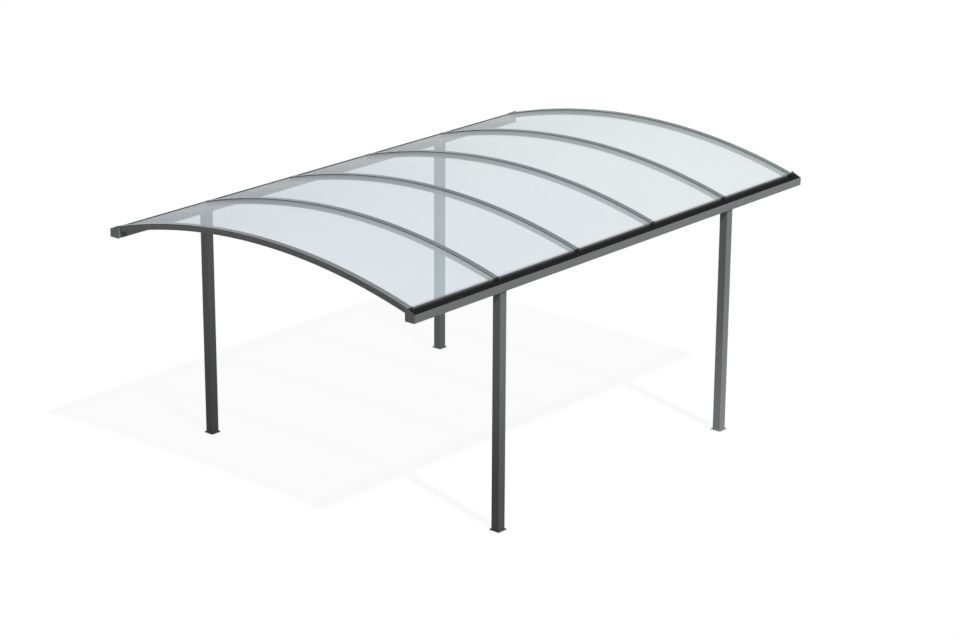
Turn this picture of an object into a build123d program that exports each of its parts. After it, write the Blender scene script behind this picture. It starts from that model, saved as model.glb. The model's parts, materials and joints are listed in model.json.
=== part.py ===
"""Open arched carport: four posts carry two eaves gutters, and rolled rafters span between the gutters.

Clear sheets lie on the rafters and are held down by cap strips over rubber. All sizes are in millimetres.
X runs across the roof, Y along it and Z up. The origin is on the ground below the middle of the roof.
"""

import math
import os

from build123d import *

# Roof as a whole: the length is over the end caps, the width over the gutters' outer walls.
roof_length = 5020.0
roof_width = 3334.0
eaves_height = 1992.5
rafter_count = 6

# Arch: the radius is of the rafters' underside, which meets the gutter at the seat height.
arch_radius = 5608.0
rafter_seat_height = 49.3
rafter_setback = 19.0

# Posts: square tube, slipped over a welded spigot at the foot and closed by an insert at the head.
post_size = 75.0
post_wall = 2.5
post_corner_radius = 1.5
spigot_clearance = 0.3
foot_plate_size = 100.0
foot_plate_thickness = 6.0
foot_plate_chamfer = 4.0
foot_spigot_height = 90.0
foot_spigot_wall = 4.0
anchor_spacing = 34.0
anchor_hole_radius = 5.5
head_insert_height = 60.0
head_insert_wall = 4.0

# Gutter beam: an open trough with an inward lip and two round screw ports for its end caps.
gutter_width = 95.0
gutter_wall = 2.5
gutter_outer_height = 65.5
gutter_lip_width = 6.0
gutter_corner_radius = 1.0
screw_port_radius = 2.2
screw_port_wall = 1.8
screw_port_slot = 2.4
end_cap_thickness = 3.0
end_cap_rise = 9.0
end_cap_margin = 1.5
end_cap_hole_radius = 2.6

# Gutter seal: a rubber apron on the trough side of the inner wall, below the sheets.
seal_thickness = 3.0
seal_bottom_height = 16.0
seat_clearance = 0.3

# Rafter: a rolled box section whose spine rises between the sheets and takes the cap screws.
rafter_width = 50.0
rafter_depth = 38.6
rafter_wall = 2.2
spine_width = 9.0

# Glazing: sheet, rubber strip over its edges, and the cap strip that clamps both.
sheet_thickness = 4.0
sheet_edge_gap = 3.0
sheet_overhang = 12.0
gasket_inset = 1.0
gasket_thickness = 2.3
cap_width = 51.0
cap_thickness = 5.3
cap_chamfer = 1.5
plug_thickness = 5.0
plug_height = 17.0
plug_chamfer = 2.0

# One overrun carries every arch past the plane that trims it.
overrun = 20.0

# Radii of the layers over the rafters.
bearing_radius = arch_radius + rafter_depth
sheet_radius = bearing_radius + seat_clearance
sheet_top_radius = sheet_radius + sheet_thickness
cap_seat_radius = sheet_top_radius + gasket_thickness
cap_top_radius = cap_seat_radius + cap_thickness

# Places across the roof, on the +X side.
gutter_outer_x = roof_width / 2
gutter_inner_x = gutter_outer_x - gutter_width
trough_inner_x = gutter_inner_x + gutter_wall
trough_outer_x = gutter_outer_x - gutter_wall
sheet_end_x = gutter_inner_x + sheet_overhang
post_x = gutter_outer_x - gutter_width / 2

# Heights: the arch is set so that each rafter's lower edge meets the gutter at the seat.
rafter_seat_z = eaves_height + rafter_seat_height
arch_centre_z = rafter_seat_z - math.sqrt(arch_radius**2 - gutter_inner_x**2)
arch_axis = Axis((0, 0, arch_centre_z), (0, 1, 0))
trough_floor_z = eaves_height + gutter_wall

# Places along the roof: rafters in equal bays, posts below the second rafter from each end.
gutter_length = roof_length - 2 * end_cap_thickness
end_rafter_y = roof_length / 2 - rafter_setback - rafter_width / 2
bay = 2 * end_rafter_y / (rafter_count - 1)
rafter_ys = [index * bay - end_rafter_y for index in range(rafter_count)]
post_y = end_rafter_y - bay

SIDES = {"left": -1, "right": 1}
ENDS = {"front": -1, "back": 1}
os.makedirs("parts", exist_ok=True)


def arch_z(radius, x):
    """Height of an arch of the given radius, at a place across the roof."""
    return arch_centre_z + math.sqrt(radius**2 - x**2)


def arch_half_angle(end_x):
    """Degrees from the crown to just past a trimming plane, on the tightest arch."""
    return math.degrees(math.asin((end_x + overrun) / arch_radius))


def arch_plane(end_x):
    """Plane of an arch's section at its -X end: local X runs along the roof, local Y is the radius."""
    lean = math.radians(arch_half_angle(end_x))
    return Plane(
        origin=(0, 0, arch_centre_z),
        x_dir=(0, 1, 0),
        z_dir=(math.cos(lean), 0, math.sin(lean)),
    )


def roll_arch(end_x):
    """Revolve the pending section over the roof and trim both ends to upright planes."""
    revolve(axis=arch_axis, revolution_arc=2 * arch_half_angle(end_x))
    split(bisect_by=Plane.YZ.offset(end_x), keep=Keep.BOTTOM)
    split(bisect_by=Plane.YZ.offset(-end_x), keep=Keep.TOP)


def save(piece, label):
    """Name a finished piece and write it to its own file."""
    piece.part.label = label
    export_step(piece.part, f"parts/{label}.step")


def band(width, low, high, along=0.0, mode=Mode.ADD):
    """Rectangle of an arch's section, between two radii."""
    with Locations((along, low)):
        Rectangle(width, high - low, align=(Align.CENTER, Align.MIN), mode=mode)


def wall(low_x, high_x, low_z, high_z):
    """Rectangle of a gutter's section, between two places across and two heights."""
    with Locations(((low_x + high_x) / 2, (low_z + high_z) / 2)):
        Rectangle(abs(high_x - low_x), high_z - low_z)


# Sizes that the spigot and the head insert share with the tube that they fit.
tube_bore = post_size - 2 * post_wall
spigot_size = tube_bore - 2 * spigot_clearance

for end, toward_end in ENDS.items():
    for side, toward_side in SIDES.items():
        post_place = Plane.XY.offset(foot_plate_thickness).move(
            Location((toward_side * post_x, toward_end * post_y, 0))
        )
        with BuildPart() as post:
            with BuildSketch(post_place):
                RectangleRounded(post_size, post_size, post_corner_radius)
                Rectangle(tube_bore, tube_bore, mode=Mode.SUBTRACT)
            extrude(amount=eaves_height - foot_plate_thickness)
        save(post, f"{end}_{side}_post")

        foot_place = Plane.XY.move(Location((toward_side * post_x, toward_end * post_y, 0)))
        with BuildPart() as foot:
            with BuildSketch(foot_place) as plate:
                Rectangle(foot_plate_size, foot_plate_size)
                chamfer(plate.vertices(), foot_plate_chamfer)
                with Locations((0, -anchor_spacing / 2), (0, anchor_spacing / 2)):
                    Circle(anchor_hole_radius, mode=Mode.SUBTRACT)
            extrude(amount=foot_plate_thickness)
            with BuildSketch(foot_place.offset(foot_plate_thickness)):
                Rectangle(spigot_size, spigot_size)
                offset(amount=-foot_spigot_wall, mode=Mode.SUBTRACT)
            extrude(amount=foot_spigot_height)
        save(foot, f"{end}_{side}_foot")

# Head inserts: upturned cups inside the tops of the posts, screwed up into the gutter floors.
with BuildPart() as heads:
    with BuildSketch(Plane.XY.offset(eaves_height)):
        with GridLocations(2 * post_x, 2 * post_y, 2, 2):
            Rectangle(spigot_size, spigot_size)
    extrude(amount=-head_insert_height)
    with BuildSketch(Plane.XY.offset(eaves_height - head_insert_wall)):
        with GridLocations(2 * post_x, 2 * post_y, 2, 2):
            cup_bore = spigot_size - 2 * head_insert_wall
            Rectangle(cup_bore, cup_bore)
    extrude(amount=-head_insert_height, mode=Mode.SUBTRACT)
save(heads, "post_heads")

# Screw ports stand in the two lower corners of the trough, clear of its walls by their own wall.
port_outer_radius = screw_port_radius + screw_port_wall
port_z = trough_floor_z + screw_port_radius
port_xs = [trough_inner_x + screw_port_radius, trough_outer_x - screw_port_radius]

for side, toward_side in SIDES.items():
    inner_wall_z = arch_z(sheet_radius, trough_inner_x) - seat_clearance
    lip_z = eaves_height + gutter_outer_height
    with BuildPart() as gutter:
        with BuildSketch(Plane.XZ) as trough:
            wall(toward_side * gutter_inner_x, toward_side * gutter_outer_x, eaves_height, trough_floor_z)
            wall(toward_side * trough_outer_x, toward_side * gutter_outer_x, eaves_height, lip_z)
            wall(toward_side * gutter_inner_x, toward_side * trough_inner_x, eaves_height, inner_wall_z)
            lip_inner_x = gutter_outer_x - gutter_lip_width
            wall(toward_side * lip_inner_x, toward_side * gutter_outer_x, lip_z - gutter_wall, lip_z)
            fillet(trough.vertices().group_by(Axis.Y)[0], gutter_corner_radius)
            for port_x in port_xs:
                with Locations((toward_side * port_x, port_z)):
                    Circle(port_outer_radius)
            for port_x in port_xs:
                with Locations((toward_side * port_x, port_z)):
                    Circle(screw_port_radius, mode=Mode.SUBTRACT)
                    Rectangle(
                        screw_port_slot,
                        2 * port_outer_radius,
                        align=(Align.CENTER, Align.MIN),
                        mode=Mode.SUBTRACT,
                    )
        extrude(amount=gutter_length / 2, both=True)
    save(gutter, f"{side}_gutter")

    apron_inner_x = trough_inner_x
    apron_outer_x = trough_inner_x + seal_thickness
    apron_outline = [
        (toward_side * apron_inner_x, eaves_height + seal_bottom_height),
        (toward_side * apron_outer_x, eaves_height + seal_bottom_height),
        (toward_side * apron_outer_x, arch_z(sheet_radius, apron_outer_x) - seat_clearance),
        (toward_side * apron_inner_x, arch_z(sheet_radius, apron_inner_x) - seat_clearance),
    ]
    with BuildPart() as seal:
        with BuildSketch(Plane.XZ):
            with BuildLine():
                Polyline(*apron_outline, close=True)
            make_face()
        extrude(amount=gutter_length / 2, both=True)
    save(seal, f"{side}_gutter_seal")

    end_cap_top_z = arch_z(cap_top_radius, gutter_inner_x) + end_cap_rise
    end_cap_inner_x = gutter_inner_x - end_cap_margin
    end_cap_outer_x = gutter_outer_x + end_cap_margin
    end_cap_outline = [
        (toward_side * end_cap_inner_x, eaves_height - end_cap_margin),
        (toward_side * end_cap_outer_x, eaves_height - end_cap_margin),
        (toward_side * end_cap_outer_x, lip_z + end_cap_margin),
        (toward_side * end_cap_inner_x, end_cap_top_z),
    ]
    for end, toward_end in ENDS.items():
        with BuildPart() as end_cap:
            with BuildSketch(Plane.XZ.offset(-toward_end * gutter_length / 2)):
                with BuildLine():
                    Polyline(*end_cap_outline, close=True)
                make_face()
                for port_x in port_xs:
                    with Locations((toward_side * port_x, port_z)):
                        Circle(end_cap_hole_radius, mode=Mode.SUBTRACT)
            extrude(amount=-toward_end * end_cap_thickness)
        save(end_cap, f"{end}_{side}_end_cap")

for number, rafter_y in enumerate(rafter_ys, start=1):
    with BuildPart() as rafter:
        with BuildSketch(arch_plane(gutter_inner_x)):
            band(rafter_width, arch_radius, bearing_radius, rafter_y)
            band(spine_width, bearing_radius, sheet_top_radius, rafter_y)
            # An end rafter has no outer sheet: its spine runs on to the outer edge, as a land for the cap.
            if number in (1, rafter_count):
                land_width = (rafter_width + spine_width) / 2
                outward = math.copysign((rafter_width - land_width) / 2, rafter_y)
                band(land_width, bearing_radius, sheet_top_radius, rafter_y + outward)
            hollow_width = rafter_width - 2 * rafter_wall
            hollow_top = bearing_radius - rafter_wall
            band(hollow_width, arch_radius + rafter_wall, hollow_top, rafter_y, Mode.SUBTRACT)
        roll_arch(gutter_inner_x)
    save(rafter, f"rafter_{number}")

    with BuildPart() as cap_strip:
        with BuildSketch(arch_plane(sheet_end_x)) as cap_section:
            band(cap_width, cap_seat_radius, cap_top_radius, rafter_y)
            chamfer(cap_section.vertices().group_by(Axis.Y)[-1], cap_chamfer)
        roll_arch(sheet_end_x)
    save(cap_strip, f"cap_strip_{number}")

# A rubber strip under each cap bridges the spine and the edges of the sheets beside it.
with BuildPart() as gaskets:
    with BuildSketch(arch_plane(sheet_end_x)):
        for rafter_y in rafter_ys:
            band(cap_width - 2 * gasket_inset, sheet_top_radius, cap_seat_radius, rafter_y)
    roll_arch(sheet_end_x)
save(gaskets, "cap_gaskets")

# One sheet a bay, held clear of the spines so that it can grow in the sun.
sheet_width = bay - spine_width - 2 * sheet_edge_gap
for number, rafter_y in enumerate(rafter_ys[:-1], start=1):
    with BuildPart() as sheet:
        with BuildSketch(arch_plane(sheet_end_x)):
            band(sheet_width, sheet_radius, sheet_top_radius, rafter_y + bay / 2)
        roll_arch(sheet_end_x)
    save(sheet, f"roof_sheet_{number}")

# Plugs close the lower ends of the cap strips, over the troughs.
plug_top_z = arch_z(cap_top_radius, sheet_end_x)
for side, toward_side in SIDES.items():
    with BuildPart() as plugs:
        with BuildSketch(Plane.YZ.offset(toward_side * sheet_end_x)) as plug_faces:
            with Locations(*[(rafter_y, plug_top_z - plug_height / 2) for rafter_y in rafter_ys]):
                Rectangle(cap_width, plug_height)
            chamfer(plug_faces.vertices(), plug_chamfer)
        extrude(amount=toward_side * plug_thickness)
    save(plugs, f"{side}_cap_plugs")
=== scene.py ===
"""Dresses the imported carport: finishes on its frame, roof sheets, cap strips, screws, and the stage."""

import json
import math

import bpy
from bpy.props import FloatProperty, FloatVectorProperty, IntProperty, PointerProperty
from mathutils import Matrix, Vector


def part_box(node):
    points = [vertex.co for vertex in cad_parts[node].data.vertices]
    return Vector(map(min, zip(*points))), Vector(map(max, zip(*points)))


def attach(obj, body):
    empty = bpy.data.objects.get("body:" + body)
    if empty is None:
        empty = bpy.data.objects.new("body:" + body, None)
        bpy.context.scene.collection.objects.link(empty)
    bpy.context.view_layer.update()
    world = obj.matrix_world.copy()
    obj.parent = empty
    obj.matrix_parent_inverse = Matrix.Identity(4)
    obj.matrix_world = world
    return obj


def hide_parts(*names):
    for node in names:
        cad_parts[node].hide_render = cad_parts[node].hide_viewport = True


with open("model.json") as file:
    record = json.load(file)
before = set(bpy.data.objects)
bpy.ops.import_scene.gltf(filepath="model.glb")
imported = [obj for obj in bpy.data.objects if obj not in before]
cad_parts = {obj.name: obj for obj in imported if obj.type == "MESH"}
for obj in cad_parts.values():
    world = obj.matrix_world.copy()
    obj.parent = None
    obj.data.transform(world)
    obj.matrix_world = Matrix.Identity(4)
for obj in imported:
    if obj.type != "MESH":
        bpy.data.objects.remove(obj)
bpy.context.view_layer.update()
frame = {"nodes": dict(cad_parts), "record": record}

bl_info = {
    "name": "Arched carport",
    "version": (1, 0, 0),
    "blender": (4, 5, 0),
    "location": "View3D > Sidebar > Carport",
    "description": "Finishes, roof sheets, cap strips, screws and stage of an open arched carport",
    "category": "Object",
}

BODY = "root"

# Material slots of the record, and the finishes that several operators use.
COAT_SLOT = "frame_coat"
FOOT_SLOT = "foot_coat"
RUBBER_SLOT = "black_rubber"
PLUG_SLOT = "black_plastic"
COAT_FINISH = "anthracite_coat"
RUBBER_FINISH = "glazing_rubber"


def alike(start):
    """Names of the CAD nodes that start alike, in order."""
    return sorted(name for name in frame["nodes"] if name.startswith(start))


def middle(node):
    """Centre of a node's box."""
    low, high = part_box(node)
    return (low + high) / 2


# Names and places of the CAD nodes, read from the frame.
ENDS = {"front": -1, "back": 1}
SIDES = {"left": -1, "right": 1}
CORNERS = [(end, side) for end in ENDS for side in SIDES]
RAFTERS = alike("rafter_")
CAP_STRIPS = alike("cap_strip_")
ROOF_SHEETS = alike("roof_sheet_")
RAFTER_YS = [middle(name).y for name in CAP_STRIPS]
SHEET_YS = [middle(name).y for name in ROOF_SHEETS]
BAY = (RAFTER_YS[-1] - RAFTER_YS[0]) / (len(RAFTER_YS) - 1)
POST_X = middle("front_right_post").x
POST_Y = middle("back_right_post").y
POST_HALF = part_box("front_right_post")[1].x - POST_X
EAVES_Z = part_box("front_right_post")[1].z
SEAL_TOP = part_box("right_gutter_seal")[1].z
GUTTER_LOW, GUTTER_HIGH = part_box("right_gutter")
GUTTER_WALL = 0.0025
PORT_RADIUS = 0.0022
TROUGH_IN = GUTTER_LOW.x + GUTTER_WALL
TROUGH_OUT = GUTTER_HIGH.x - GUTTER_WALL
TROUGH_TOP = GUTTER_HIGH.z
TROUGH_END = GUTTER_HIGH.y

# Fine sizes of the shapes: edge radii in metres, steps of a quarter round, and the screws.
SHEET_EDGE = 0.0006
CAP_EDGE = 0.0004
EDGE_STEPS = 2
CORNER_STEPS = 3
SHOULDER_STEPS = 4
SMOOTH_ANGLE = math.radians(35)
WASHER_SIDES = 16
HEAD_SIDES = 6
FLANGE_WIDTH = 1.25  # of the head's radius
FLANGE_HEIGHT = 0.25  # of the head's height
CAP_SCREW_MARGIN = 0.08
FOOT_SCREW_HEIGHTS = (0.036, 0.076)
UP = Vector((0.0, 0.0, 1.0))

# Where a film, painted light or painted shade starts and where it is full, in metres across, along or up
# the carport.
FRAME_FAR_SIDE = (1.4, -1.4)
CAP_FAR_SIDE = (0.4, -1.6)
CAP_FILM = (TROUGH_TOP - 0.002, TROUGH_TOP + 0.003)
POST_LOW_TOP = (0.0, 1.9)
FRONT_SHADE_SPAN = (-1.2, 1.2)
PAINTED_LIGHT_BACK = (0.2, 1.4)
GUTTER_DARK_IN = (TROUGH_IN - 0.001, TROUGH_IN)
GUTTER_DARK_OUT = (TROUGH_OUT + 0.002, TROUGH_OUT + 0.001)
GUTTER_DARK_END = (TROUGH_END + 0.002, TROUGH_END)
GUTTER_DARK_FLOOR = (EAVES_Z, EAVES_Z + GUTTER_WALL)
GUTTER_DARK_TOP = (TROUGH_TOP, TROUGH_TOP + 0.004)
SHEET_FAR_SIDE = (0.4, -1.5)
SHEET_NEAR_SIDE = (0.3, 1.5)
SHEET_BACK = (-1.8, 1.8)
DRIP_WIDTH = 0.035
DRIP_LEE_WIDTH = 0.045  # more, on the lee side
DRIP_FULL = 0.004  # past the sheet's end
DUST_START = 0.021  # below the drip edge
DUST_FULL = 0.002  # below the drip edge
DUST_STOP = 0.001  # above the drip edge

# How far a face turns up or to the front where dust, film or painted light starts and where it is full.
WEATHER_UP = (0.6, 0.98)
DUST_UP = (0.7, 1.0)
PAINTED_LIGHT_FACING = (0.5, -0.9)

# The stage.
WHITE = (1.0, 1.0, 1.0, 1.0)
PALE = (0.8, 0.8, 0.8, 1.0)
FLOOR_HALF = 60.0
SENSOR_WIDTH = 36.0
VIEW_DEPTH = 200.0
BACKGROUND_RAYS = ("Is Camera Ray", "Is Glossy Ray", "Is Transmission Ray")


# Sizes, colours and settings that a user would change.


def length(name, description, default):
    """Length property, in metres."""
    return FloatProperty(name=name, description=description, default=default, unit="LENGTH")


def turn(name, description, degrees):
    """Angle property, given in degrees."""
    return FloatProperty(name=name, description=description, default=math.radians(degrees), subtype="ANGLE")


def share(name, description, default):
    """Property from 0 to 1."""
    return FloatProperty(
        name=name, description=description, default=default, min=0.0, max=1.0, subtype="FACTOR"
    )


def colour(name, description, default):
    """Colour property, linear."""
    return FloatVectorProperty(
        name=name, description=description, default=default, size=3, min=0.0, max=1.0, subtype="COLOR"
    )


class CarportSizes(bpy.types.PropertyGroup):
    """Sizes of the pieces that are made here."""

    sheet_thickness: length("Sheet thickness", "Thickness of a clear roof sheet", 0.004)
    rafter_depth: length("Rafter depth", "Depth of a rafter below the sheets", 0.0386)
    rafter_corner: length("Rafter corner", "Radius of a rafter's lower corners", 0.0022)
    spine_width: length("Spine width", "Width of the spine between two sheets", 0.009)
    seat_clearance: length("Seat clearance", "Gap between a rafter and a sheet", 0.0001)
    cap_thickness: length("Cap thickness", "Thickness of a cap strip at its crown", 0.0053)
    cap_shoulder: length("Cap shoulder", "Radius of a cap strip's upper edges", 0.0022)
    groove_width: length("Groove width", "Width of the fine groove along a cap strip", 0.003)
    groove_depth: length("Groove depth", "Depth of the fine groove along a cap strip", 0.0009)
    arch_steps: IntProperty(
        name="Arch steps", description="Straight steps along a rolled arch", default=120, min=24
    )
    screw_pitch: length("Screw pitch", "Distance between screws along a cap strip", 0.3)
    head_radius: length("Head radius", "Corner radius of a hexagon screw head", 0.0046)
    head_height: length("Head height", "Height of a screw head over its washer", 0.004)
    washer_radius: length("Washer radius", "Radius of the rubber-faced washer", 0.007)
    washer_height: length("Washer height", "Thickness of the washer", 0.0016)


class CarportFinishes(bpy.types.PropertyGroup):
    """Colours of the finishes."""

    coat: colour("Coat", "Powder coat of the frame", (0.150, 0.153, 0.155))
    # Dust on rubber; the same colour is painted light low on the back posts.
    dust_and_painted_light: colour("Dust", "Pale dust that blows against the back posts", (0.30, 0.31, 0.31))
    weather: colour("Weather", "Cool film that weather leaves on the cap strips", (0.135, 0.154, 0.159))
    # Painted light: the cap film's far colour, much lighter than its near one.
    weather_and_far_light: colour("Weather to the lee", "The same film on the lee side", (0.335, 0.371, 0.378))
    # Painted shade at the foot of the front posts.
    splash: colour("Splash", "Road film at the foot of the posts", (0.035, 0.035, 0.034))
    # Darker colour inside the gutters.
    gutter_dark: colour("Silt", "Wet silt inside the gutters", (0.040, 0.041, 0.039))
    sheet: colour("Sheet", "Veil of the roof sheets at the front", (0.426, 0.488, 0.530))
    sheet_back: colour("Sheet at the back", "Veil of the roof sheets at the back", (0.490, 0.546, 0.554))
    veil: share("Veil", "Opacity of a sheet's upper face", 0.60)
    under_veil: share("Under veil", "Opacity of a sheet's lower face", 0.18)
    drip: colour("Drip edge", "Grime at the lower edge of a sheet", (0.16, 0.17, 0.17))
    rubber: colour("Rubber", "Glazing rubber", (0.013, 0.014, 0.014))
    plastic: colour("Plastic", "Moulded plugs", (0.022, 0.023, 0.023))
    screw: colour("Screw", "Stainless screw heads", (0.42, 0.42, 0.41))


class CarportStage(bpy.types.PropertyGroup):
    """Camera, light and floor."""

    eye: FloatVectorProperty(
        name="Eye",
        description="Place of the camera",
        default=(14.5412, -16.7598, 8.5516),
        subtype="XYZ",
        unit="LENGTH",
    )
    azimuth: turn("Azimuth", "Camera's turn about the upright", 40.6509)
    elevation: turn("Elevation", "Camera's height angle", 18.7696)
    roll: turn("Roll", "Camera's roll", 0.3058)
    lens: FloatProperty(name="Lens", description="Focal length in millimetres", default=102.797, min=1.0)
    sun_from: FloatVectorProperty(
        name="Sun from",
        description="Direction that the key light comes from",
        default=(1.0, -0.29, 1.45),
        subtype="DIRECTION",
    )
    sun: FloatProperty(name="Sun", description="Strength of the key light", default=4.15, min=0.0)
    sun_width: turn("Sun width", "Apparent width of the key light", 2.0)
    sky: FloatProperty(
        name="Sky", description="Strength of the light from all round", default=0.28, min=0.0
    )
    floor: colour("Floor", "Pale floor", (0.21, 0.21, 0.21))
    floor_shadow: share("Floor shadow", "Share of the floor's look that takes shadow", 0.07)


class CarportSettings(bpy.types.PropertyGroup):
    """All settings of the carport."""

    sizes: PointerProperty(type=CarportSizes, name="Sizes", description="Sizes of the pieces")
    finishes: PointerProperty(type=CarportFinishes, name="Finishes", description="Colours of the finishes")
    stage: PointerProperty(type=CarportStage, name="Stage", description="Camera, light and floor")


# Node trees.


class Wire:
    """One output socket of a node tree. Sums that are written with it become Math nodes."""

    def __init__(self, owner, socket):
        self.owner = owner
        self.socket = socket

    def reckon(self, operation, *values):
        """A Math node on the given values."""
        return self.owner.add("ShaderNodeMath", {"operation": operation}, dict(enumerate(values)))

    def __add__(self, other):
        return self.reckon("ADD", self, other)

    def __radd__(self, other):
        return self.reckon("ADD", other, self)

    def __sub__(self, other):
        return self.reckon("SUBTRACT", self, other)

    def __rsub__(self, other):
        return self.reckon("SUBTRACT", other, self)

    def __mul__(self, other):
        return self.reckon("MULTIPLY", self, other)

    def __rmul__(self, other):
        return self.reckon("MULTIPLY", other, self)

    def __truediv__(self, other):
        return self.reckon("DIVIDE", self, other)

    def __rtruediv__(self, other):
        return self.reckon("DIVIDE", other, self)

    def __abs__(self):
        return self.reckon("ABSOLUTE", self)

    def root(self):
        """The square root."""
        return self.reckon("SQRT", self)

    def sine(self):
        """The sine of an angle."""
        return self.reckon("SINE", self)

    def cosine(self):
        """The cosine of an angle."""
        return self.reckon("COSINE", self)

    def arcsine(self):
        """The angle that has this sine."""
        return self.reckon("ARCSINE", self)

    def most(self, other):
        """The larger of two values."""
        return self.reckon("MAXIMUM", self, other)

    def sway(self, amount):
        """A pattern from 0 to 1 as an amount that sways about zero."""
        return (self - 0.5) * amount

    def rise(self, low, high):
        """A smooth step from 0 at low to 1 at high."""
        return self.owner.add(
            "ShaderNodeMapRange",
            {"interpolation_type": "SMOOTHSTEP"},
            {"Value": self, "From Min": low, "From Max": high},
        )


class Nodes:
    """A node tree that is written node by node."""

    def __init__(self, tree):
        self.tree = tree
        tree.nodes.clear()

    def add(self, kind, settings=None, values=None, output=0):
        """A node of the given kind: settings first, then the values or links of its sockets."""
        node = self.tree.nodes.new(kind)
        for name, value in (settings or {}).items():
            setattr(node, name, value)
        for key, value in (values or {}).items():
            for one in value if isinstance(value, list) else [value]:
                if isinstance(one, Wire):
                    self.tree.links.new(one.socket, node.inputs[key])
                else:
                    node.inputs[key].default_value = one
        return Wire(self, node.outputs[output]) if node.outputs else None

    def outputs(self, wire):
        """All outputs of the node that a wire comes from, by name."""
        return {socket.name: Wire(self, socket) for socket in wire.socket.node.outputs}

    def parts(self, vector):
        """The three numbers of a vector."""
        return list(self.outputs(self.add("ShaderNodeSeparateXYZ", values={0: vector})).values())

    def seen(self):
        """1 for the rays that show the background: from the camera, in gloss and through clear sheet."""
        paths = self.outputs(self.add("ShaderNodeLightPath"))
        first, second, third = [paths[name] for name in BACKGROUND_RAYS]
        return first.most(second).most(third)


# Finishes.


class Finish(Nodes):
    """A procedural material on the object's own coordinates."""

    def __init__(self, name):
        self.material = bpy.data.materials.new(name)
        self.material.use_nodes = True
        super().__init__(self.material.node_tree)
        self.place = self.add("ShaderNodeTexCoord", output="Object")
        self.x, self.y, self.z = self.parts(self.place)

    def blend(self, amount, first, second):
        """A colour between two others."""
        first, second = [c if isinstance(c, Wire) else (*c, 1.0) for c in (first, second)]
        settings = {"data_type": "RGBA", "clamp_factor": True}
        return self.add("ShaderNodeMix", settings, {0: amount, 6: first, 7: second}, output=2)

    def noise(self, scale, detail=2.0, roughness=0.5, stretch=None):
        """Noise from 0 to 1, stretched along the axes where asked."""
        place = self.place
        if stretch:
            place = self.add("ShaderNodeMapping", values={"Vector": place, "Scale": stretch})
        values = {"Vector": place, "Scale": scale, "Detail": detail, "Roughness": roughness}
        return self.add("ShaderNodeTexNoise", values=values)

    def facing(self, axis):
        """How far the surface faces along an axis of the object: 0 for X, 1 for Y and 2 for Z."""
        normal = self.add("ShaderNodeNewGeometry", output="Normal")
        return self.parts(normal)[axis]

    def tint(self, base, tone):
        """A colour times a tone."""
        base = base if isinstance(base, Wire) else tuple(base)
        return self.add("ShaderNodeVectorMath", {"operation": "SCALE"}, {0: base, "Scale": tone})

    def bump(self, height, strength, distance):
        """A bumped normal."""
        values = {"Height": height, "Strength": strength, "Distance": distance}
        return self.add("ShaderNodeBump", values=values)

    def surface(self, values):
        """The shader, with the values of its sockets, and the output."""
        return self.show(self.add("ShaderNodeBsdfPrincipled", values=values))

    def show(self, shader):
        """The output."""
        self.add("ShaderNodeOutputMaterial", values={"Surface": shader})
        return self.material


def powder_coat(name, colours, scuff=0.0):
    """Satin powder coat: fine orange peel, cloudy tone, a cool film on the cap strips, painted light and
    painted shade on the frame, and a darker colour inside the gutters.
    """
    finish = Finish(name)
    cloud = finish.noise(5.0, detail=4.0, roughness=0.6)
    grain = finish.noise(900.0, detail=1.0)
    peel = finish.noise(260.0, detail=2.0)
    streak = finish.noise(1.0, detail=3.0, stretch=(42.0, 42.0, 1.6))
    # Painted light: the tone is lighter toward the back and toward the far side, under the roof.
    far_side = finish.x.rise(*FRAME_FAR_SIDE)
    tone = cloud.sway(0.16) + grain.sway(0.16) + streak.sway(0.10) + finish.y * 0.05 + far_side * 0.12 + 1.0
    base = finish.tint(colours.coat, tone)

    # Cool film on the cap strips; its far colour is much lighter, painted light that evens out the key
    # light across the arch.
    above = finish.facing(2).rise(*WEATHER_UP) * finish.z.rise(*CAP_FILM)
    weather = above * (0.75 + cloud * 0.3)
    film = finish.blend(finish.x.rise(*CAP_FAR_SIDE), colours.weather, colours.weather_and_far_light)
    base = finish.blend(weather, base, film)

    # Painted shade: darker toward the foot of the front posts, a little less on the far side.
    low = 1.0 - finish.z.rise(*POST_LOW_TOP)
    front = 1.0 - finish.y.rise(*FRONT_SHADE_SPAN)
    patchy = 0.66 + streak * 0.36
    splash = low * front * (1.0 - far_side * 0.3) * patchy
    base = finish.blend(splash, base, colours.splash)
    # Painted light: lighter front-facing faces low on the back posts, in the dust colour.
    painted_light = low * low * finish.y.rise(*PAINTED_LIGHT_BACK) * finish.facing(1).rise(*PAINTED_LIGHT_FACING) * patchy
    base = finish.blend(painted_light, base, colours.dust_and_painted_light)

    # Darker inside the gutters.
    across, along = abs(finish.x), abs(finish.y)
    inside = across.rise(*GUTTER_DARK_IN) * across.rise(*GUTTER_DARK_OUT) * along.rise(*GUTTER_DARK_END)
    gutter_dark = inside * finish.z.rise(*GUTTER_DARK_FLOOR) * (1.0 - finish.z.rise(*GUTTER_DARK_TOP))
    base = finish.blend(gutter_dark * (0.7 + cloud * 0.3), base, colours.gutter_dark)

    return finish.surface(
        {
            "Base Color": base,
            "Roughness": 0.44 + cloud * 0.12 + grain * 0.06 + weather * 0.08 + scuff,
            "Specular IOR Level": 0.20,
            "Normal": finish.bump(peel + grain * 0.5, strength=0.10, distance=0.0004),
        }
    )


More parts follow.
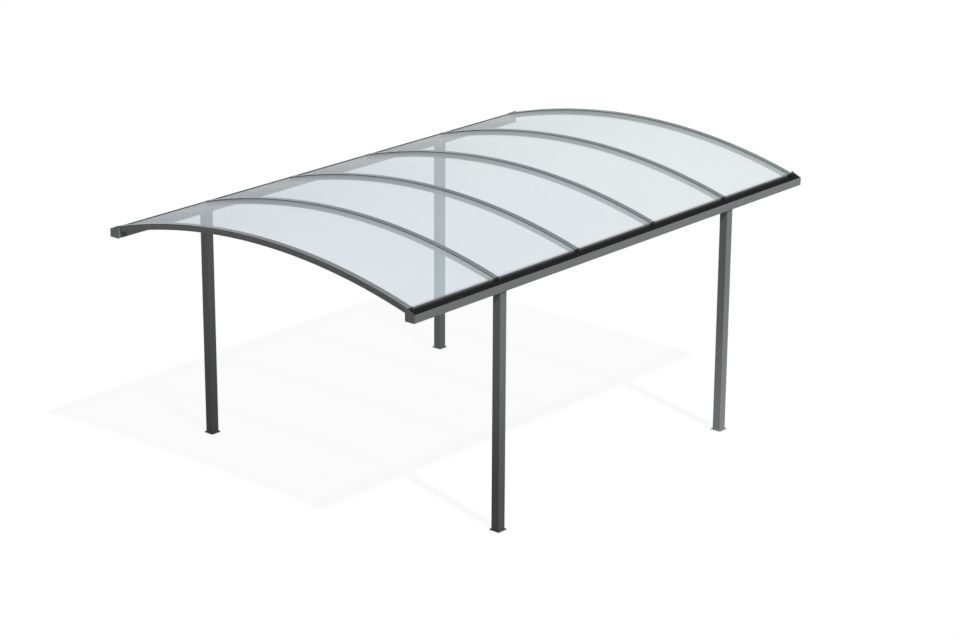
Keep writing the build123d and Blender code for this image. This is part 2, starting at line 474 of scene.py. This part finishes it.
def clear_sheet(colours, sizes, end_x):
    """Clear sheet with a pale veil, most of it on the upper face, grime at its lower edge, and painted
    shade on the far slope.
    """
    finish = Finish("clear_sheet_gloss")
    cloud = finish.noise(0.9, detail=3.0, roughness=0.5)
    speck = finish.noise(240.0, detail=1.0)
    run = finish.noise(1.0, detail=3.0, stretch=(0.8, 26.0, 0.8))
    far_side = finish.x.rise(*SHEET_FAR_SIDE)
    near_side = finish.x.rise(*SHEET_NEAR_SIDE)
    # Painted shade: the veil is darker on the far slope, where the key light falls less; it is also a
    # little darker toward the near eave.
    tone = cloud.sway(0.05) + speck.sway(0.02) + run.sway(0.012) - far_side * 0.075 - near_side * 0.03 + 1.0
    base = finish.blend(finish.y.rise(*SHEET_BACK), colours.sheet, colours.sheet_back)
    base = finish.tint(base, tone)
    drip = abs(finish.x).rise(end_x - DRIP_WIDTH - far_side * DRIP_LEE_WIDTH, end_x + DRIP_FULL)
    base = finish.blend(drip, base, colours.drip)

    # The upper face, by its height over the arch of the lower one.
    radius, centre = roof_arch(sizes)
    rise = finish.z - centre
    height = (finish.x * finish.x + rise * rise).root() - radius
    outer = height.rise(sizes.sheet_thickness * 0.3, sizes.sheet_thickness * 0.7)
    veil = colours.under_veil + outer * (colours.veil - colours.under_veil + far_side * 0.04)
    return finish.surface(
        {
            "Base Color": base,
            "Roughness": 0.14 + cloud * 0.08 + drip * 0.3,
            "Alpha": veil + drip * 0.15 + run.sway(0.015),
            "IOR": 1.5,
            "Specular IOR Level": 0.02,
        }
    )


def rubber_finish(name, tint, dust_and_painted_light, drip_z=None):
    """Matt black rubber or moulded plastic with a fine skin, and a dusty film below a drip edge."""
    finish = Finish(name)
    skin = finish.noise(420.0, detail=2.0)
    bloom = finish.noise(7.0, detail=3.0)
    base = finish.tint(tint, 0.8 + skin * 0.25 + bloom * 0.3)
    dusty = finish.facing(2).rise(*DUST_UP) * bloom * 0.05
    if drip_z:
        below = finish.z.rise(drip_z - DUST_START, drip_z - DUST_FULL)
        below = below * finish.z.rise(drip_z + DUST_STOP, drip_z)
        dusty = dusty + below * (0.50 + bloom * 0.4)
    return finish.surface(
        {
            "Base Color": finish.blend(dusty, base, dust_and_painted_light),
            "Roughness": 0.62 + bloom * 0.2,
            "Specular IOR Level": 0.15,
            "Normal": finish.bump(skin, strength=0.15, distance=0.0003),
        }
    )


def screw_steel(colours):
    """Brushed stainless steel of the screw heads."""
    finish = Finish("screw_steel")
    brush = finish.noise(600.0, detail=2.0)
    dull = finish.noise(30.0, detail=2.0)
    tone = 0.75 + brush * 0.3 + dull * 0.2
    return finish.surface(
        {"Base Color": finish.tint(colours.screw, tone), "Metallic": 0.9, "Roughness": 0.32 + dull * 0.25}
    )


# Meshes.


def dress(name, material):
    """Give a CAD node a finish."""
    node = frame["nodes"][name]
    if not node.material_slots:
        node.data.materials.append(material)
    for slot in node.material_slots:
        slot.link = "OBJECT"
        slot.material = material


def settle(piece, nodes=()):
    """Hang a finished piece on the frame."""
    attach(piece, BODY)
    if nodes:
        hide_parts(*nodes)


def link_object(name, data):
    """New object in the scene."""
    piece = bpy.data.objects.new(name, data)
    bpy.context.scene.collection.objects.link(piece)
    return piece


class Shaper(Nodes):
    """A Geometry Nodes tree with named inputs."""

    def __init__(self, name, sizes, counts=(), materials=()):
        super().__init__(bpy.data.node_groups.new(name, "GeometryNodeTree"))
        inputs = {
            "NodeSocketGeometry": ["Geometry"],
            "NodeSocketFloat": sizes,
            "NodeSocketInt": counts,
            "NodeSocketMaterial": materials,
        }
        sockets = self.tree.interface
        for kind, labels in inputs.items():
            for label in labels:
                sockets.new_socket(label, in_out="INPUT", socket_type=kind)
        sockets.new_socket("Geometry", in_out="OUTPUT", socket_type="NodeSocketGeometry")
        self.given = self.outputs(self.add("NodeGroupInput"))

    def vector(self, x=0.0, y=0.0, z=0.0):
        """A vector of three numbers."""
        return self.add("ShaderNodeCombineXYZ", values={0: x, 1: y, 2: z})

    def finish(self, geometry):
        """Connect the tree's result."""
        self.add("NodeGroupOutput", values={"Geometry": geometry})
        return self

    def apply(self, name, base_mesh, values):
        """Run the tree on a mesh and return a new object with the plain result."""
        holder = link_object(f"{name}_base", base_mesh)
        modifier = holder.modifiers.new(name, "NODES")
        modifier.node_group = self.tree
        for item in self.tree.interface.items_tree:
            if item.in_out == "INPUT" and item.name in values:
                modifier[item.identifier] = values[item.name]
        graph = bpy.context.evaluated_depsgraph_get()
        mesh = bpy.data.meshes.new_from_object(holder.evaluated_get(graph), depsgraph=graph)
        holder.modifiers.remove(modifier)
        bpy.data.objects.remove(holder)
        if not mesh.polygons:
            raise RuntimeError(f"{name} came out empty")
        mesh.name = name
        return link_object(name, mesh)


def rolled_rows():
    """Tree that rolls a flat strip over the roof and repeats it along the roof."""
    sizes = ["Arch radius", "Arch centre", "End across", "First row", "Row spacing"]
    tree = Shaper("rolled_rows", sizes, counts=["Rows"], materials=["Material"])
    given = tree.given
    x, y, z = tree.parts(tree.add("GeometryNodeInputPosition"))
    radius = z + given["Arch radius"]
    angle = x * (given["End across"] / radius).arcsine()
    rolled = tree.vector(radius * angle.sine(), y, given["Arch centre"] + radius * angle.cosine())
    arch = tree.add("GeometryNodeSetPosition", values={"Geometry": given["Geometry"], "Position": rolled})
    start, step = tree.vector(y=given["First row"]), tree.vector(y=given["Row spacing"])
    line = {"Count": given["Rows"], "Start Location": start, "Offset": step}
    rows = tree.add("GeometryNodeMeshLine", values=line)
    copies = tree.add("GeometryNodeInstanceOnPoints", values={"Points": rows, "Instance": arch})
    real = tree.add("GeometryNodeRealizeInstances", values={"Geometry": copies})
    finished = {"Geometry": real, "Material": given["Material"]}
    return tree.finish(tree.add("GeometryNodeSetMaterial", values=finished))


def flat_strip(name, outline, steps):
    """Flat strip that the tree rolls. X runs from -1 to 1.

    The outline is (along, radial) pairs that turn left.
    """
    count = len(outline)
    points = [
        (2.0 * step / steps - 1.0, along, radial) for step in range(steps + 1) for along, radial in outline
    ]
    faces = []
    for step in range(steps):
        for index in range(count):
            after = (index + 1) % count
            low, high = step * count, (step + 1) * count
            faces.append((low + index, low + after, high + after, high + index))
    faces.append(tuple(reversed(range(count))))
    faces.append(tuple(range(steps * count, (steps + 1) * count)))
    mesh = bpy.data.meshes.new(name)
    mesh.from_pydata(points, [], faces)
    mesh.update()
    return mesh


def quarter_round(along, radial, radius, start, steps):
    """Quarter round of a section about a sharp corner, turning left from the start direction in degrees."""
    middle_turn = math.radians(start + 45)
    along -= math.copysign(radius, math.cos(middle_turn))
    radial -= math.copysign(radius, math.sin(middle_turn))
    turns = [math.radians(start + 90 * index / steps) for index in range(steps + 1)]
    return [(along + radius * math.cos(angle), radial + radius * math.sin(angle)) for angle in turns]


def sheet_outline(width, sizes):
    """Section of a sheet with its edges just broken."""
    half, top = width / 2, sizes.sheet_thickness
    return [
        *quarter_round(half, 0.0, SHEET_EDGE, -90, EDGE_STEPS),
        *quarter_round(half, top, SHEET_EDGE, 0, EDGE_STEPS),
        *quarter_round(-half, top, SHEET_EDGE, 90, EDGE_STEPS),
        *quarter_round(-half, 0.0, SHEET_EDGE, 180, EDGE_STEPS),
    ]


def cap_outline(width, top, sizes):
    """Section of a cap strip: rounded shoulders and a fine groove along the middle."""
    half, groove = width / 2, sizes.groove_width / 2
    bottom = top - sizes.cap_thickness
    return [
        *quarter_round(half, bottom, CAP_EDGE, -90, EDGE_STEPS),
        *quarter_round(half, top, sizes.cap_shoulder, 0, SHOULDER_STEPS),
        (groove, top),
        (0.0, top - sizes.groove_depth),
        (-groove, top),
        *quarter_round(-half, top, sizes.cap_shoulder, 90, SHOULDER_STEPS),
        *quarter_round(-half, bottom, CAP_EDGE, 180, EDGE_STEPS),
    ]


def rafter_outline(width, sizes, outward):
    """Section of a rafter with its spine. On an end rafter the spine runs on to the outer edge."""
    half, spine, top = width / 2, sizes.spine_width / 2, sizes.sheet_thickness
    bearing = -sizes.seat_clearance
    bottom = bearing - sizes.rafter_depth
    right = [(half, bearing), (spine, bearing), (spine, top)]
    left = [(-along, radial) for along, radial in reversed(right)]
    return [
        *quarter_round(half, bottom, sizes.rafter_corner, -90, CORNER_STEPS),
        *([(half, top)] if outward > 0 else right),
        *([(-half, top)] if outward < 0 else left),
        *quarter_round(-half, bottom, sizes.rafter_corner, 180, CORNER_STEPS),
    ]


def roof_arch(sizes):
    """Radius of the sheets' underside and the arch's centre height, from a sheet's box."""
    low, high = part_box(ROOF_SHEETS[0])
    rise = high.z - sizes.sheet_thickness - low.z
    radius = (high.x**2 + rise**2) / (2 * rise)
    return radius, high.z - sizes.sheet_thickness - radius


def roll(name, outline, sizes, end_x, rows, material):
    """Piece of like strips that are rolled over the arch, one on each row along the roof."""
    radius, centre = roof_arch(sizes)
    values = {
        "Arch radius": radius,
        "Arch centre": centre,
        "End across": end_x,
        "First row": rows[0],
        "Row spacing": BAY,
        "Rows": len(rows),
        "Material": material,
    }
    piece = rolled_rows().apply(name, flat_strip(f"{name}_strip", outline, sizes.arch_steps), values)
    piece.data.shade_smooth()
    piece.data.set_sharp_from_angle(angle=SMOOTH_ANGLE)
    return piece


def screw_heads():
    """Tree that sets a hexagon screw on a washer at each point, along the point's own axis."""
    sizes = ["Head radius", "Head height", "Washer radius", "Washer height"]
    tree = Shaper("screw_heads", sizes, materials=["Head material", "Washer material"])
    given = tree.given

    def drum(sides, radius, depth, base):
        """Cylinder that stands on a given height."""
        values = {"Vertices": sides, "Radius": radius, "Depth": depth}
        cylinder = tree.add("GeometryNodeMeshCylinder", values=values)
        offset = tree.vector(z=depth * 0.5 + base)
        return tree.add("GeometryNodeTransform", values={"Geometry": cylinder, "Translation": offset})

    washer = drum(WASHER_SIDES, given["Washer radius"], given["Washer height"], 0.0)
    washer = tree.add(
        "GeometryNodeStoreNamedAttribute",
        {"data_type": "BOOLEAN", "domain": "FACE"},
        {"Geometry": washer, "Name": "washer", "Value": True},
    )
    flange_height = given["Head height"] * FLANGE_HEIGHT
    flange_radius = given["Head radius"] * FLANGE_WIDTH
    flange = drum(WASHER_SIDES, flange_radius, flange_height, given["Washer height"])
    head_base = given["Washer height"] + flange_height
    head = drum(HEAD_SIDES, given["Head radius"], given["Head height"], head_base)
    screw = tree.add("GeometryNodeJoinGeometry", values={"Geometry": [head, flange, washer]})
    axis = tree.add("GeometryNodeInputNamedAttribute", {"data_type": "FLOAT_VECTOR"}, {"Name": "axis"})
    aligned = tree.add("FunctionNodeAlignRotationToVector", {"axis": "Z"}, {"Vector": axis})
    each = {"Points": given["Geometry"], "Instance": screw, "Rotation": aligned}
    copies = tree.add("GeometryNodeInstanceOnPoints", values=each)
    real = tree.add("GeometryNodeRealizeInstances", values={"Geometry": copies})
    finished = {"Geometry": real, "Material": given["Head material"]}
    heads = tree.add("GeometryNodeSetMaterial", values=finished)
    under = tree.add("GeometryNodeInputNamedAttribute", {"data_type": "BOOLEAN"}, {"Name": "washer"})
    finished = {"Geometry": heads, "Selection": under, "Material": given["Washer material"]}
    return tree.finish(tree.add("GeometryNodeSetMaterial", values=finished))


def screw_points(name, places):
    """Points with an axis each, for the screw tree."""
    mesh = bpy.data.meshes.new(name)
    mesh.from_pydata([tuple(place) for place, axis in places], [], [])
    axes = mesh.attributes.new("axis", "FLOAT_VECTOR", "POINT")
    for index, (place, axis) in enumerate(places):
        axes.data[index].vector = axis
    return mesh


# Operators.


class CarportOperator:
    """What all the carport's operators share."""

    bl_options = {"REGISTER"}

    @property
    def settings(self):
        """The scene's settings of the carport."""
        return bpy.context.scene.carport


class CARPORT_OT_frame(CarportOperator, bpy.types.Operator):
    """Finish the posts, gutters, end caps, rafters, feet, rubber and plugs"""

    bl_idname = "carport.frame"
    bl_label = "Finish the frame"

    def execute(self, context):
        colours = self.settings.finishes
        finishes = {
            COAT_SLOT: powder_coat(COAT_FINISH, colours),
            FOOT_SLOT: powder_coat("foot_plate_coat", colours, scuff=0.08),
            RUBBER_SLOT: rubber_finish(RUBBER_FINISH, colours.rubber, colours.dust_and_painted_light, SEAL_TOP),
            PLUG_SLOT: rubber_finish("plug_plastic", colours.plastic, colours.dust_and_painted_light),
        }
        for part in frame["record"]["subparts"]:
            if part["material_slot"] in finishes:
                dress(part["node"], finishes[part["material_slot"]])
        return {"FINISHED"}


class CARPORT_OT_rafters(CarportOperator, bpy.types.Operator):
    """Roll the rafters between the gutters"""

    bl_idname = "carport.rafters"
    bl_label = "Make the rafters"

    def execute(self, context):
        sizes = self.settings.sizes
        low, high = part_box(RAFTERS[1])
        coat = bpy.data.materials[COAT_FINISH]
        groups = {"front_rafter": (0, 1, -1), "inner_rafters": (1, -1, 0), "back_rafter": (-1, None, 1)}
        for name, (first, last, outward) in groups.items():
            outline = rafter_outline(high.y - low.y, sizes, outward)
            piece = roll(name, outline, sizes, high.x, RAFTER_YS[first:last], coat)
            settle(piece, RAFTERS[first:last])
        return {"FINISHED"}


class CARPORT_OT_sheets(CarportOperator, bpy.types.Operator):
    """Roll the clear roof sheets over the rafters"""

    bl_idname = "carport.sheets"
    bl_label = "Make the roof sheets"

    def execute(self, context):
        sizes = self.settings.sizes
        low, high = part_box(ROOF_SHEETS[0])
        outline = sheet_outline(high.y - low.y, sizes)
        finish = clear_sheet(self.settings.finishes, sizes, high.x)
        piece = roll("roof_sheets", outline, sizes, high.x, SHEET_YS, finish)
        settle(piece, ROOF_SHEETS)
        return {"FINISHED"}


class CARPORT_OT_caps(CarportOperator, bpy.types.Operator):
    """Roll the cap strips over the joints of the sheets"""

    bl_idname = "carport.caps"
    bl_label = "Make the cap strips"

    def execute(self, context):
        sizes = self.settings.sizes
        radius, centre = roof_arch(sizes)
        low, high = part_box(CAP_STRIPS[0])
        outline = cap_outline(high.y - low.y, high.z - centre - radius, sizes)
        coat = bpy.data.materials[COAT_FINISH]
        piece = roll("cap_strips", outline, sizes, high.x, RAFTER_YS, coat)
        settle(piece, CAP_STRIPS)
        return {"FINISHED"}


class CARPORT_OT_screws(CarportOperator, bpy.types.Operator):
    """Set the screws of the cap strips, end caps, gutters and post feet"""

    bl_idname = "carport.screws"
    bl_label = "Set the screws"

    def execute(self, context):
        sizes = self.settings.sizes
        steel = screw_steel(self.settings.finishes)
        rubber = bpy.data.materials[RUBBER_FINISH]
        coat = bpy.data.materials[COAT_FINISH]
        tree = screw_heads()
        # Places, size against the cap screws, and finishes of the head and the washer.
        groups = {
            "cap_screws": (self.cap_places(sizes), 1.0, steel, rubber),
            "gutter_screws": (self.gutter_places(), 1.2, steel, rubber),
            "end_cap_screws": (self.end_cap_places(), 0.7, coat, coat),
            "foot_screws": (self.foot_places(), 0.8, coat, coat),
        }
        for name, (places, scale, head, washer) in groups.items():
            values = {
                "Head radius": sizes.head_radius * scale,
                "Head height": sizes.head_height * scale,
                "Washer radius": sizes.washer_radius * scale,
                "Washer height": sizes.washer_height * scale,
                "Head material": head,
                "Washer material": washer,
            }
            settle(tree.apply(name, screw_points(f"{name}_points", places), values))
        return {"FINISHED"}

    @staticmethod
    def cap_places(sizes):
        """Along the middle of every cap strip, at an even pitch, a little way down in the groove."""
        centre = roof_arch(sizes)[1]
        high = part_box(CAP_STRIPS[0])[1]
        top = high.z - centre
        seat = top - sizes.groove_depth / 3
        reach = math.asin(high.x / top) - CAP_SCREW_MARGIN / top
        gaps = round(2 * reach * top / sizes.screw_pitch)
        angles = [(index / gaps - 0.5) * 2 * reach for index in range(gaps + 1)]
        axes = [Vector((math.sin(angle), 0.0, math.cos(angle))) for angle in angles]
        return [(Vector((0.0, y, centre)) + axis * seat, axis) for y in RAFTER_YS for axis in axes]

    @staticmethod
    def gutter_places():
        """Two through each gutter floor into every post head."""
        floor_z = EAVES_Z + GUTTER_WALL
        return [
            (Vector((SIDES[side] * POST_X + shift, ENDS[end] * POST_Y, floor_z)), UP)
            for end, side in CORNERS
            for shift in (-POST_HALF / 2, POST_HALF / 2)
        ]

    @staticmethod
    def end_cap_places():
        """Two through each end cap into the gutter's screw ports."""
        port = GUTTER_WALL + PORT_RADIUS
        places = []
        for end, side in CORNERS:
            low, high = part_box(f"{end}_{side}_end_cap")
            outward = Vector((0.0, float(ENDS[end]), 0.0))
            y = (high if ENDS[end] > 0 else low).y
            for x in (GUTTER_LOW.x + port, GUTTER_HIGH.x - port):
                places.append((Vector((SIDES[side] * x, y, EAVES_Z + port)), outward))
        return places

    @staticmethod
    def foot_places():
        """Two on the inner face of each post, into the spigot of its foot."""
        places = []
        for end, side in CORNERS:
            inner_x = SIDES[side] * (POST_X - POST_HALF)
            inward = Vector((-SIDES[side], 0.0, 0.0))
            for z in FOOT_SCREW_HEIGHTS:
                places.append((Vector((inner_x, ENDS[end] * POST_Y, z)), inward))
        return places


class CARPORT_OT_stage(CarportOperator, bpy.types.Operator):
    """Lay the pale floor, set the light and place the camera"""

    bl_idname = "carport.stage"
    bl_label = "Set the stage"

    def execute(self, context):
        stage = self.settings.stage
        context.scene.view_settings.view_transform = "Standard"
        self.floor(stage)
        self.light(stage)
        self.camera(stage)
        return {"FINISHED"}

    @staticmethod
    def floor(stage):
        """A level floor, white to the camera but for the shadow on it."""
        half = FLOOR_HALF
        mesh = bpy.data.meshes.new("floor")
        points = [(-half, -half, 0), (half, -half, 0), (half, half, 0), (-half, half, 0)]
        mesh.from_pydata(points, [], [(0, 1, 2, 3)])
        floor = link_object("floor", mesh)
        finish = Finish("pale_floor")
        shade = finish.add("ShaderNodeBsdfDiffuse", values={"Color": (*stage.floor, 1.0)})
        pale = finish.add("ShaderNodeBsdfDiffuse", values={"Color": PALE})
        white = finish.add("ShaderNodeEmission", values={"Color": WHITE, "Strength": 1.0})
        shown = finish.add("ShaderNodeMixShader", values={0: stage.floor_shadow, 1: white, 2: pale})
        both = finish.add("ShaderNodeMixShader", values={0: finish.seen(), 1: shade, 2: shown})
        floor.data.materials.append(finish.show(both))

    @staticmethod
    def light(stage):
        """Soft light all round and one key light."""
        world = bpy.data.worlds.new("studio")
        world.use_nodes = True
        bpy.context.scene.world = world
        nodes = Nodes(world.node_tree)
        sky = nodes.add("ShaderNodeBackground", values={"Color": WHITE, "Strength": stage.sky})
        white = nodes.add("ShaderNodeBackground", values={"Color": WHITE, "Strength": 1.0})
        both = nodes.add("ShaderNodeMixShader", values={0: nodes.seen(), 1: sky, 2: white})
        nodes.add("ShaderNodeOutputWorld", values={"Surface": both})

        lamp = bpy.data.lights.new("key_light", "SUN")
        lamp.energy = stage.sun
        lamp.angle = stage.sun_width
        key = link_object("key_light", lamp)
        key.rotation_mode = "QUATERNION"
        key.rotation_quaternion = Vector(stage.sun_from).to_track_quat("Z", "Y")

    @staticmethod
    def camera(stage):
        """The camera at the photograph's view."""
        data = bpy.data.cameras.new("camera")
        data.lens = stage.lens
        data.sensor_width = SENSOR_WIDTH
        data.clip_end = VIEW_DEPTH
        around, lift, tilt = stage.azimuth, stage.elevation, stage.roll
        level = math.cos(lift)
        back = Vector((math.sin(around) * level, -math.cos(around) * level, math.sin(lift)))
        right = Vector((math.cos(around), math.sin(around), 0.0))
        up = back.cross(right)
        rolled_right = right * math.cos(tilt) + up * math.sin(tilt)
        rolled_up = up * math.cos(tilt) - right * math.sin(tilt)
        axes = Matrix((rolled_right, rolled_up, back)).transposed().to_4x4()
        camera = link_object("camera", data)
        camera.matrix_world = Matrix.Translation(stage.eye) @ axes
        bpy.context.scene.camera = camera


OPERATORS = (
    CARPORT_OT_frame,
    CARPORT_OT_rafters,
    CARPORT_OT_sheets,
    CARPORT_OT_caps,
    CARPORT_OT_screws,
    CARPORT_OT_stage,
)


class CARPORT_PT_sidebar(bpy.types.Panel):
    """Carport tab of the sidebar"""

    bl_idname = "CARPORT_PT_sidebar"
    bl_label = "Carport"
    bl_space_type = "VIEW_3D"
    bl_region_type = "UI"
    bl_category = "Carport"

    def draw(self, context):
        for operator in OPERATORS:
            self.layout.operator(operator.bl_idname)
        for group in ("sizes", "finishes", "stage"):
            box = self.layout.box()
            values = getattr(context.scene.carport, group)
            for name in values.__annotations__:
                box.prop(values, name)


CLASSES = (CarportSizes, CarportFinishes, CarportStage, CarportSettings, *OPERATORS, CARPORT_PT_sidebar)


def register():
    """Add the classes and the scene's settings."""
    for one in CLASSES:
        bpy.utils.register_class(one)
    bpy.types.Scene.carport = PointerProperty(type=CarportSettings, name="Carport", description="Settings")


def unregister():
    """Take the classes and the scene's settings away."""
    del bpy.types.Scene.carport
    for one in reversed(CLASSES):
        bpy.utils.unregister_class(one)


def main():
    """Make everything in order."""
    register()
    bpy.ops.carport.frame()
    bpy.ops.carport.rafters()
    bpy.ops.carport.sheets()
    bpy.ops.carport.caps()
    bpy.ops.carport.screws()
    bpy.ops.carport.stage()


if __name__ == "__main__":
    main()
